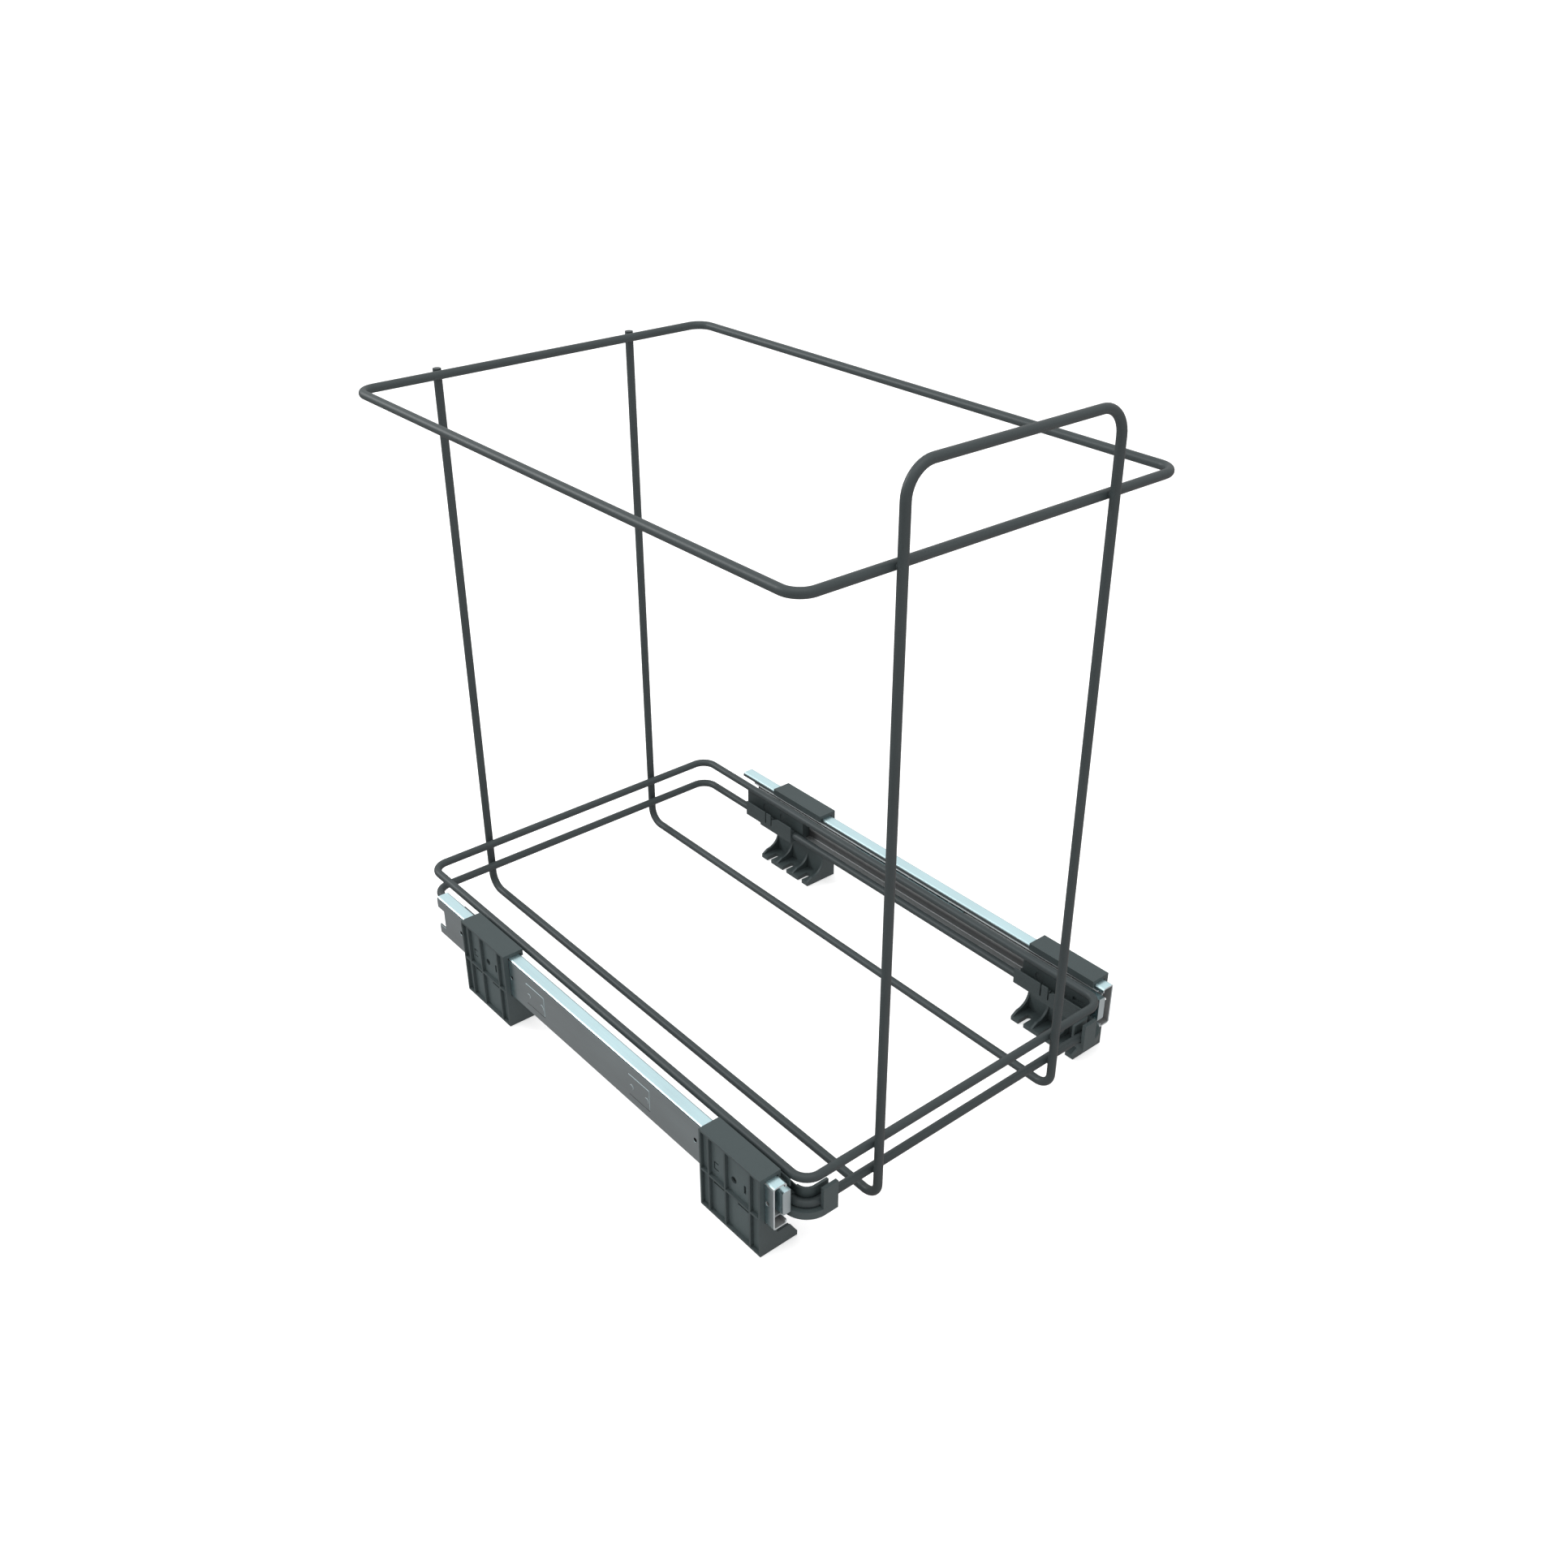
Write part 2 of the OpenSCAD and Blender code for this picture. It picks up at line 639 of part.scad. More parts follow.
module inner_balls_left() color(steel_col) left() balls(inner_row_x, inner_row_z);
module inner_rail_right() color(zinc_col) inner_rail();
module inner_rail_left() color(zinc_col) left() inner_rail();
module holder_front_right() color(moulded_col) holder_front();
module holder_front_left() color(moulded_col) left() holder_front();
module holder_back_right() color(moulded_col) holder_back();
module holder_back_left() color(moulded_col) left() holder_back();
module holder_screws_right() color(steel_col) holder_screws();
module holder_screws_left() color(steel_col) left() holder_screws();

module carrier_wire() color(wire_col) {
    side_loop(loop_x);
    side_loop(-loop_x);
    x = loop_x - handle_r;
    translate([x, -post_y, handle_z - handle_r]) rotate([90, 0, 0]) bend(handle_r, 0);
    translate([-x, -post_y, handle_z - handle_r]) rotate([90, 0, 0]) bend(handle_r, 90);
    bar_x(-x, x, -post_y, handle_z);
}

module top_ring() color(wire_col) ring(top_w, top_z);
module upper_base_ring() color(wire_col) ring(base_w, upper_z);
module lower_base_ring() color(wire_col) ring(base_w, lower_z);

bracket_front_left();
bracket_front_right();
bracket_back_left();
bracket_back_right();
outer_rail_left();
outer_rail_right();
rail_buffer_left();
rail_buffer_right();
middle_rail_left();
middle_rail_right();
outer_cage_left();
outer_cage_right();
outer_balls_left();
outer_balls_right();
inner_cage_left();
inner_cage_right();
inner_balls_left();
inner_balls_right();
inner_rail_left();
inner_rail_right();
holder_front_left();
holder_front_right();
holder_back_left();
holder_back_right();
holder_screws_left();
holder_screws_right();
carrier_wire();
top_ring();
upper_base_ring();
lower_base_ring();
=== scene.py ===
import json
import math
from collections import namedtuple

import bmesh
import bpy
from bpy.props import FloatProperty, FloatVectorProperty, IntProperty, PointerProperty
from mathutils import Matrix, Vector


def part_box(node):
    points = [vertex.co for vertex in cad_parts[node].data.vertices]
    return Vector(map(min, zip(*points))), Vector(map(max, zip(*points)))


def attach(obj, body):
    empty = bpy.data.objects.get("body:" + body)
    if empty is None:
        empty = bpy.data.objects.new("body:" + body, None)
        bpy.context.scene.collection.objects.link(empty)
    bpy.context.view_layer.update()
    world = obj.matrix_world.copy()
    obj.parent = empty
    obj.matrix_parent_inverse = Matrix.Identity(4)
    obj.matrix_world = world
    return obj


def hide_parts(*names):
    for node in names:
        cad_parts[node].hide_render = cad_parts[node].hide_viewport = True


bl_info = {
    "name": "Pull out bin frame",
    "version": (1, 0, 0),
    "blender": (4, 5, 0),
    "location": "View3D > Sidebar > Bin frame",
    "description": "Finishes and studio for a wire bin carrier on telescopic slides",
    "category": "Object",
}

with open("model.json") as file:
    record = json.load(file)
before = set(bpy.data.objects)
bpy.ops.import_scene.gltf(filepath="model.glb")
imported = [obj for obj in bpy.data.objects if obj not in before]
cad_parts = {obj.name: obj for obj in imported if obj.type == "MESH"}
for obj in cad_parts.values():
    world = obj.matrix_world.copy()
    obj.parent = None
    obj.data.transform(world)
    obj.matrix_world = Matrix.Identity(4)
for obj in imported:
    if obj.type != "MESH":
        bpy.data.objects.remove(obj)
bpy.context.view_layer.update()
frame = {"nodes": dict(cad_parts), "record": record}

SIDES = ("left", "right")
ENDS = ("front", "back")
WIRES = ("carrier_wire", "top_ring", "upper_base_ring", "lower_base_ring")
BRACKETS = tuple(f"bracket_{end}_{side}" for end in ENDS for side in SIDES)
HOLDERS = tuple(f"holder_{end}_{side}" for end in ENDS for side in SIDES)
RAILS = tuple(f"{stage}_rail_{side}" for stage in ("outer", "middle", "inner") for side in SIDES)
CAGES = tuple(f"{stage}_cage_{side}" for stage in ("outer", "inner") for side in SIDES)
BALLS = tuple(f"{stage}_balls_{side}" for stage in ("outer", "inner") for side in SIDES)
SCREWS = tuple(f"holder_screws_{side}" for side in SIDES)
BUFFERS = tuple(f"rail_buffer_{side}" for side in SIDES)

# Sockets of a Mix node that mixes colours
MIX_FACTOR = 0
MIX_FIRST = 6
MIX_SECOND = 7
MIX_RESULT = 2

# Width of a film's soft border on a thin wall
FADE = 0.0001

# Where the painted shade and painted light on the rails begin behind a rail's front end, where they
# are full, and how far their border wanders
FILM_START = 0.016
FILM_FULL = 0.034
FILM_WANDER = 0.012

# Points closer than this are one point, and faces flatter than this are one face
SAME_POINT = 2e-6
SAME_FACE = math.radians(0.3)

# Edges sharper than this are rounded in so many steps
SHARP_EDGE = math.radians(35.0)
EDGE_STEPS = 2

# How much the area of a face counts when normals are evened
AREA_WEIGHT = 100


def body_of(node):
    """Name of the body that carries a node."""
    for body, members in frame["record"]["behaviour"]["bodies"].items():
        if node in members:
            return body
    raise KeyError(node)


def side_of(node):
    """Sign of X on a node's side of the frame."""
    return -1.0 if node.endswith("left") else 1.0


def wire_radius():
    """Radius of the wire, from the height of a level ring."""
    low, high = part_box("lower_base_ring")
    return (high.z - low.z) / 2


class Value:
    """A socket of a shader tree that takes part in arithmetic."""

    def __init__(self, shade, socket):
        self.shade = shade
        self.socket = socket

    def _math(self, operation, first, second):
        return self.shade.make("ShaderNodeMath", 0, {"operation": operation}, {0: first, 1: second})

    def __add__(self, other):
        return self._math("ADD", self, other)

    def __radd__(self, other):
        return self._math("ADD", other, self)

    def __sub__(self, other):
        return self._math("SUBTRACT", self, other)

    def __rsub__(self, other):
        return self._math("SUBTRACT", other, self)

    def __mul__(self, other):
        return self._math("MULTIPLY", self, other)

    def __rmul__(self, other):
        return self._math("MULTIPLY", other, self)


class Shade:
    """The node tree of a material or of the light dome, around its one shader."""

    def __init__(self, owner, shader="Principled BSDF"):
        owner.use_nodes = True
        self.owner = owner
        self.tree = owner.node_tree
        self.shader = self.tree.nodes[shader]

    def feed(self, socket, value):
        if isinstance(value, Value):
            self.tree.links.new(value.socket, socket)
        else:
            socket.default_value = value

    def make(self, kind, output, settings=None, values=None):
        """One node of any type: its settings first, then its inputs; gives one output."""
        node = self.tree.nodes.new(kind)
        for key, value in (settings or {}).items():
            setattr(node, key, value)
        for key, value in (values or {}).items():
            self.feed(node.inputs[key], value)
        return Value(self, node.outputs[output])

    def place(self, scale=(1.0, 1.0, 1.0)):
        coordinates = self.make("ShaderNodeTexCoord", "Object")
        return self.make("ShaderNodeMapping", 0, None, {"Vector": coordinates, "Scale": scale})

    def axis(self, name, both_sides=False, source="Object"):
        """One object coordinate, or one part of the normal; both_sides drops its sign."""
        vector = self.make("ShaderNodeTexCoord", source)
        value = self.make("ShaderNodeSeparateXYZ", name, None, {0: vector})
        if both_sides:
            value = self.make("ShaderNodeMath", 0, {"operation": "ABSOLUTE"}, {0: value})
        return value

    def noise(self, place, scale, detail=2.0, roughness=0.5):
        inputs = {"Vector": place, "Scale": scale, "Detail": detail, "Roughness": roughness}
        return self.make("ShaderNodeTexNoise", 0, None, inputs)

    def mix(self, factor, first, second):
        inputs = {MIX_FACTOR: factor, MIX_FIRST: first, MIX_SECOND: second}
        return self.make("ShaderNodeMix", MIX_RESULT, {"data_type": "RGBA"}, inputs)

    def band(self, value, low, high):
        """Value stretched so that low becomes 0 and high becomes 1."""
        inputs = {"Value": value, "From Min": low, "From Max": high}
        return self.make("ShaderNodeMapRange", 0, {"clamp": True}, inputs)

    def bump(self, height, strength, distance):
        inputs = {"Height": height, "Strength": strength, "Distance": distance}
        return self.make("ShaderNodeBump", 0, None, inputs)

    def finish(self, **sockets):
        for name, value in sockets.items():
            self.feed(self.shader.inputs[name.replace("_", " ")], value)
        return self.owner


def new_finish(name):
    """The tree of a new material."""
    return Shade(bpy.data.materials.new(name))


def tone(colour, factor):
    """A colour made lighter or darker, with alpha."""
    return tuple(min(1.0, channel * factor) for channel in colour[:3]) + (1.0,)


def powder_coat(look):
    """Satin powder coat: soft drift in tone, orange peel and a fine grain."""
    s = new_finish("satin powder coat")
    at = s.place()
    drift = s.band(s.noise(at, scale=22.0, detail=3.0), 0.3, 0.7)
    peel = s.noise(at, scale=620.0)
    grain = s.noise(at, scale=3600.0, detail=1.0)
    colour = s.mix(drift, tone(look.colour, 0.94), tone(look.colour, 1.06))
    return s.finish(
        Base_Color=colour,
        Roughness=look.roughness - 0.05 + peel * 0.06 + grain * 0.04,
        Normal=s.bump(peel * 0.75 + grain * 0.25, strength=0.12, distance=look.peel),
        Specular_IOR_Level=look.gloss,
    )


def moulded_plastic(look, name, depth, pale):
    """Moulded plastic with a fine grain; depth below 1 darkens the whole colour as painted shade, and
    pale says where painted light lightens it.
    """
    s = new_finish(name)
    at = s.place()
    flow = s.band(s.noise(s.place((1.0, 0.4, 1.6)), scale=30.0, detail=4.0), 0.25, 0.75)
    grain = s.noise(at, scale=2400.0, roughness=0.6)
    pits = s.band(s.noise(at, scale=900.0, detail=1.0), 0.45, 0.8)
    # depth below 1 lays painted shade over the whole colour
    colour = s.mix(flow, tone(look.colour, 0.95 * depth), tone(look.colour, 1.05 * depth))
    colour = s.mix(pits * 0.12, colour, tone(look.colour, 1.25 * depth))
    # Painted light where pale says
    colour = s.mix(pale(s), colour, tone(look.colour, 1.33 * depth))
    return s.finish(
        Base_Color=colour,
        Roughness=look.roughness - 0.06 + grain * 0.12 + flow * 0.02,
        Normal=s.bump(grain * 0.8 + pits * 0.2, strength=0.25, distance=look.peel),
        Specular_IOR_Level=look.gloss,
    )


def cell_floors(box, depth):
    """The floors of a bracket's cells, which lie one rib depth inside its outer face."""
    floor = box[1].x - depth
    near = 2 * FADE
    far = 5 * FADE

    def place(s):
        across = s.axis("X", True)
        level = s.band(across, floor - far, floor - near)
        level = level * s.band(across, floor + far, floor + near)
        return level * s.band(s.axis("X", True, "Normal"), 0.8, 0.95)

    return place


def front_of(line):
    """Everything in front of a line across the frame."""
    border = 0.002
    return lambda s: s.band(s.axis("Y"), line + border, line - border)


# A film on zinc: its tint, how well it covers, the roughness it adds and the metal shine it takes.
# The dark films are painted shade, the pale ones painted light
Film = namedtuple("Film", "tint cover dulling matt")
# In order: deep painted shade, soft painted shade, painted light, a pale matt grey that is painted
# light (on a cut face also bare steel), faint painted light
DEEP_PAINTED_SHADE = Film((0.055, 0.056, 0.056, 1.0), 0.92, 0.2, 0.0)
SOFT_PAINTED_SHADE = Film((0.325, 0.295, 0.29, 1.0), 0.8, 0.15, 0.0)
PAINTED_LIGHT = Film((0.40, 0.43, 0.44, 1.0), 1.0, 0.25, 1.0)
PALE_MATT_GREY = Film((0.33, 0.35, 0.36, 1.0), 1.0, 0.25, 1.0)
FAINT_PAINTED_LIGHT = Film((0.19, 0.195, 0.195, 1.0), 1.0, 0.2, 0.85)


def zinc_plate(look, name, layers=()):
    """Bright zinc with streaks along the rail; each layer is a film and its place, mostly painted
    shade or painted light.
    """
    s = new_finish(name)
    streak = s.noise(s.place((1.0, 0.02, 1.0)), scale=900.0, detail=3.0, roughness=0.6)
    cloud = s.band(s.noise(s.place((1.0, 0.25, 1.0)), scale=60.0, detail=3.0), 0.3, 0.7)
    colour = s.mix(cloud, tone(look.colour, 0.95), tone(look.colour, 1.03))
    colour = s.mix(s.band(streak, 0.55, 0.8) * 0.25, colour, tone(look.colour, 0.8))
    rough = look.roughness - 0.06 + streak * 0.12 + cloud * 0.04
    metal = 1.0
    for film, place in layers:
        spread = place(s)
        colour = s.mix(spread * film.cover, colour, film.tint)
        rough = rough + spread * film.dulling
        if film.matt > 0.0:
            metal = metal * (1.0 - spread * film.matt)
    relief = s.bump(streak, strength=0.08, distance=look.peel)
    return s.finish(Base_Color=colour, Metallic=metal, Roughness=rough, Normal=relief)


def behind(s, front):
    """Rises from 0 to 1 a little behind a rail's front end, with a ragged start; it places the
    painted shade and painted light on the rails.
    """
    border_noise = s.noise(s.place((1.0, 0.3, 1.0)), scale=140.0, detail=3.0)
    along = s.axis("Y") + border_noise * FILM_WANDER
    return s.band(along, front + FILM_START, front + FILM_FULL)


def past_front_end(box):
    """The whole rail behind its front end."""
    return lambda s: behind(s, box[0].y)


def front_end(box):
    """A rail's front end."""
    return lambda s: 1.0 - behind(s, box[0].y)


def everywhere(s):
    """The whole surface, a little uneven."""
    return s.band(s.noise(s.place((1.0, 0.3, 1.0)), scale=90.0), -0.4, 0.6)


def inside_of(box, sheet):
    """The inner faces of a rail."""
    low, high = box
    skin = sheet * 0.4
    core = sheet * 0.6

    def place(s):
        across = s.axis("X", True)
        height = s.axis("Z")
        wide = s.band(across, low.x + skin, low.x + core)
        wide = wide * s.band(across, high.x - skin, high.x - core)
        tall = s.band(height, low.z + skin, low.z + core)
        return wide * tall * s.band(height, high.z - skin, high.z - core)

    return place


def front_inside(box, sheet):
    """The inner faces of the outer rail near its front end."""
    inside = inside_of(box, sheet)
    front = front_end(box)
    return lambda s: inside(s) * front(s)


def shaded_outer(box, sheet, covers):
    """Painted shade inside the outer rail and on its lips, and a painted shadow on its skin where
    brackets cover it.
    """
    low, high = box
    inside = inside_of(box, sheet)
    border = sheet * 0.2
    lip_share = 0.8

    def place(s):
        across = s.axis("X", True)
        along = s.axis("Y")
        lip = s.band(across, low.x + sheet * 0.8, low.x + sheet * 0.3)
        # Painted shade inside and on the lips, then a painted shadow under each bracket
        total = behind(s, low.y) * (inside(s) + lip * lip_share)
        skin = s.band(across, high.x - sheet * 0.6, high.x - sheet * 0.4)
        for first, last in covers:
            span = s.band(along, first, first + border) * s.band(along, last, last - border)
            total = total + skin * span
        return total

    return place


def cut_end(box):
    """The cut face at a rail's front end."""
    line = box[0].y

    def place(s):
        ahead = s.band(s.axis("Y", True, "Normal"), 0.6, 0.9)
        return ahead * s.band(s.axis("Y"), line + 3 * FADE, line + FADE)

    return place


def off_face(s):
    """Edges and walls that do not lie in the rail's flat face."""
    return s.band(s.axis("X", True, "Normal"), 0.96, 0.86)


def pad_edges(box, proud):
    """The edges of the pads and studs that stand proud of the outer rail."""
    face = box[1].x - proud
    return lambda s: off_face(s) * s.band(s.axis("X", True), face + 0.1 * FADE, face + 0.4 * FADE)


def pad_slits(box, reach, width):
    """The walls of the slits under the outer rail's pads, clear of the rail's ends."""
    low, high = box
    above = (low.z + high.z) / 2 - reach
    below = above - width
    clear = 0.005

    def place(s):
        height = s.axis("Z")
        along = s.axis("Y")
        level = s.band(height, below - 3 * FADE, below - 2 * FADE)
        level = level * s.band(height, above + 3 * FADE, above + 2 * FADE)
        span = s.band(along, low.y + clear, low.y + 2 * clear)
        span = span * s.band(along, high.y - clear, high.y - 2 * clear)
        return off_face(s) * level * span

    return place


def pale_mouth(box, sheet):
    """Painted light on the rim of the middle rail's mouth."""
    low = box[0]

    def place(s):
        rim = s.band(s.axis("X", True), low.x + sheet * 0.6, low.x + sheet * 0.4)
        return rim * behind(s, low.y)

    return place


def shaded_band(box):
    """Painted shade in a band along the lower part of the inner rail's web."""
    low, high = box
    size = high.z - low.z
    strength = 0.75

    def place(s):
        height = s.axis("Z")
        rise = s.band(height, low.z + size * 0.066, low.z + size * 0.085)
        fall = s.band(height, low.z + size * 0.46, low.z + size * 0.32)
        return behind(s, low.y) * rise * fall * strength

    return place


def pale_inner(box, sheet):
    """Painted light on the inner rail's upper race and, fainter, on its web and lower race."""
    low, high = box
    size = high.z - low.z
    web_share = 0.34
    base_share = 0.12

    def place(s):
        height = s.axis("Z")
        top = s.band(height, high.z - sheet * 0.6, high.z - sheet * 0.4)
        web = s.band(height, low.z + size * 0.36, low.z + size * 0.46) * (1.0 - top)
        base = s.band(height, low.z + sheet * 1.15, low.z + sheet * 1.05)
        return behind(s, low.y) * (top + web * web_share + base * base_share)

    return place


def bearing_steel():
    """Polished steel of the balls with faint turning marks."""
    s = new_finish("polished steel")
    mark = s.noise(s.place((1.0, 4.0, 1.0)), scale=1500.0)
    colour = s.mix(mark, (0.52, 0.53, 0.54, 1.0), (0.66, 0.67, 0.68, 1.0))
    return s.finish(Base_Color=colour, Metallic=1.0, Roughness=0.16 + mark * 0.12)


def coated_steel():
    """Screws with a dull grey coat, worn a little at the grain."""
    s = new_finish("coated steel")
    wear = s.band(s.noise(s.place(), scale=1200.0, detail=3.0), 0.5, 0.8)
    colour = s.mix(wear, (0.036, 0.047, 0.049, 1.0), (0.055, 0.066, 0.068, 1.0))
    return s.finish(Base_Color=colour, Metallic=0.1, Roughness=0.58 - wear * 0.1)


def buffer_rubber():
    """Matt black rubber with a fine bloom."""
    s = new_finish("buffer rubber")
    bloom = s.noise(s.place(), scale=800.0, detail=3.0)
    colour = s.mix(bloom, (0.018, 0.018, 0.019, 1.0), (0.05, 0.05, 0.052, 1.0))
    relief = s.bump(bloom, strength=0.2, distance=0.0001)
    return s.finish(Base_Color=colour, Roughness=0.7 + bloom * 0.15, Normal=relief)


def dress(node, material):
    """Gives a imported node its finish."""
    slots = frame["nodes"][node].data.materials
    slots.clear()
    slots.append(material)


def plain_mesh(piece):
    """Bakes a piece's modifiers into its mesh."""
    graph = bpy.context.evaluated_depsgraph_get()
    result = bpy.data.meshes.new_from_object(piece.evaluated_get(graph))
    piece.modifiers.clear()
    piece.data = result


def prism(shape, outline, first, last):
    """Adds a flat plate to a mesh: an outline of (y, z) points between two planes across X."""
    ends = []
    for x in (first, last):
        ends.append([shape.verts.new((x, y, z)) for y, z in outline])
    faces = [shape.faces.new(ends[0]), shape.faces.new(ends[1])]
    for i in range(len(outline)):
        j = (i + 1) % len(outline)
        faces.append(shape.faces.new((ends[0][i], ends[0][j], ends[1][j], ends[1][i])))
    bmesh.ops.recalc_face_normals(shape, faces=faces)


def oblong(y0, y1, z0, z1):
    """Outline of a plate with four straight sides."""
    return [(y0, z0), (y1, z0), (y1, z1), (y0, z1)]


def linked(name, shape):
    """An object from a mesh that is being edited."""
    mesh = bpy.data.meshes.new(name)
    shape.to_mesh(mesh)
    shape.free()
    piece = bpy.data.objects.new(name, mesh)
    bpy.context.scene.collection.objects.link(piece)
    return piece


def round_edges(piece, width):
    """Rounds the sharp edges of a piece and evens its shading."""
    for face in piece.data.polygons:
        face.use_smooth = True
    edge = piece.modifiers.new("edges", "BEVEL")
    edge.width = width
    edge.segments = EDGE_STEPS
    edge.limit_method = "ANGLE"
    edge.angle_limit = SHARP_EDGE
    edge.use_clamp_overlap = True
    edge.harden_normals = True
    even = piece.modifiers.new("normals", "WEIGHTED_NORMAL")
    even.mode = "FACE_AREA"
    even.weight = AREA_WEIGHT
    name = piece.data.name
    plain_mesh(piece)
    piece.data.name = name


def softened(node, suffix, width, material, cutter=None):
    """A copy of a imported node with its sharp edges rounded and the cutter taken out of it."""
    shape = bmesh.new()
    shape.from_mesh(frame["nodes"][node].data)
    bmesh.ops.remove_doubles(shape, verts=shape.verts, dist=SAME_POINT)
    bmesh.ops.dissolve_limit(shape, angle_limit=SAME_FACE, verts=shape.verts, edges=shape.edges)
    piece = linked(f"{node}_{suffix}", shape)
    piece.data.materials.append(material)
    if cutter is not None:
        cut = piece.modifiers.new("cuts", "BOOLEAN")
        cut.operation = "DIFFERENCE"
        cut.solver = "EXACT"
        cut.object = cutter
    round_edges(piece, width)
    if cutter is not None:
        bpy.data.objects.remove(cutter)
    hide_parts(node)
    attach(piece, body_of(node))


def length(name, about, default):
    """A length that is shown with fine steps."""
    return FloatProperty(
        name=name,
        description=about,
        default=default,
        unit="LENGTH",
        precision=5,
    )


class FinishLook(bpy.types.PropertyGroup):
    """Colour and surface of one finish."""

    colour: FloatVectorProperty(
        name="Colour",
        description="Base colour of the finish",
        subtype="COLOR",
        size=3,
        default=(0.1, 0.1, 0.1),
    )
    roughness: FloatProperty(
        name="Roughness",
        description="Middle of the surface roughness",
        default=0.45,
    )
    gloss: FloatProperty(
        name="Gloss",
        description="Strength of the clear reflection",
        default=0.28,
    )
    peel: FloatProperty(
        name="Relief",
        description="Depth of the surface relief",
        default=0.00012,
        unit="LENGTH",
        precision=6,
    )


class FrameSizes(bpy.types.PropertyGroup):
    """Sizes of the fine detail."""

    moulded_edge: length("Moulded edge", "Radius of the edges of moulded pieces", 0.00035)
    sheet: length("Sheet", "Sheet thickness of the rails", 0.0012)
    sheet_edge: length("Sheet edge", "Radius of the edges of rolled sheet", 0.00015)
    weld_reach: length("Weld reach", "Half width of a weld bead", 0.002)
    weld_depth: length("Weld depth", "Half depth of a weld bead", 0.0011)
    rib_depth: length("Rib depth", "Depth of the cells on a bracket", 0.0024)
    cell_wall: length("Cell wall", "Thickness of the wall behind the cells", 0.0014)
    slit_length: length("Slit length", "Length of the slits under the middle rib", 0.0105)
    slit_height: length("Slit height", "Height of the slits under the middle rib", 0.0015)
    slit_level: length("Slit level", "Height of the slits above the floor", 0.02445)
    slit_first: length("First slit", "From a bracket's back end to its first slit's front", 0.0218)
    slit_second: length("Second slit", "From a bracket's back end to its second slit's front", 0.0459)
    ring_bend: length("Ring bend", "Bend radius of the rings", 0.012)
    wall_over: length("Wall over", "Reach of a back holder's outer wall past its cradle", 0.007)
    cradle_gap: length("Cradle gap", "Play round the wire", 0.0002)
    cradle_wall: length("Cradle wall", "Thickness of the inner wall of a cradle", 0.00105)
    cradle_rise: length("Cradle rise", "Top of the inner wall above the middle of the wire", 0.0085)
    tongue_back: length("Tongue", "From a cradle's back end to the slit behind its tongue", 0.0257)
    tongue_width: length("Tongue width", "Width of the tongue", 0.006)
    tongue_slit: length("Tongue slit", "Width of the slits beside the tongue", 0.0012)
    slope_length: length("Slope", "Length of the slope in front of the tongue", 0.0077)
    slope_drop: length("Slope drop", "Drop of the slope in front of the tongue", 0.004)
    plate_wall: length("Plate wall", "Thickness of a front holder's outer wall", 0.0025)
    plate_rise: length("Plate rise", "Top of the outer wall above the inner rail", 0.0012)
    plate_step: length("Plate step", "Setback of the outer wall at the holder's back end", 0.002)
    seat_gap: length("Seat gap", "Gap between a holder and its rail", 0.0001)
    tab_rise: length("Tab rise", "Top of the tab beside the upper ring above the outer wall", 0.0034)
    tab_wall: length("Tab wall", "Thickness of the tab beside the upper ring", 0.0012)
    tab_front: length("Tab front", "Reach of the tab in front of the outer wall", 0.0035)
    tab_run: length("Tab run", "Reach of the tab along the outer wall", 0.02)
    pad_reach: length("Pad reach", "From a rail's middle to the lower edge of its pads", 0.0083)
    pad_slit: length("Pad slit", "Width of the slit under a pad", 0.0008)
    pad_proud: length("Pad studs", "How far the studs on the pads stand out", 0.0004)
    weld_turns: IntProperty(
        name="Weld facets",
        description="Segments round a weld bead",
        default=20,
        min=8,
    )


class BinFrameLooks(bpy.types.PropertyGroup):
    """All looks of the bin frame."""

    wire: PointerProperty(type=FinishLook)
    moulded: PointerProperty(type=FinishLook)
    zinc: PointerProperty(type=FinishLook)
    sizes: PointerProperty(type=FrameSizes)


def looks():
    """The looks that the scene holds."""
    return bpy.context.scene.bin_frame


def set_finishes():
    """Default colours of the three main finishes."""
    wire = looks().wire
    wire.colour = (0.034, 0.044, 0.046)
    wire.roughness = 0.46
    moulded = looks().moulded
    moulded.colour = (0.045, 0.060, 0.062)
    moulded.roughness = 0.56
    zinc = looks().zinc
    zinc.colour = (0.60, 0.80, 0.84)
    zinc.roughness = 0.3
    zinc.peel = 0.00003


class BINFRAME_OT_wires(bpy.types.Operator):
    """Coats the carrier wire and the three rings"""

    bl_idname = "binframe.wires"
    bl_label = "Wires"

    def execute(self, context):
        coat = powder_coat(looks().wire)
        for node in WIRES:
            dress(node, coat)
        return {"FINISHED"}


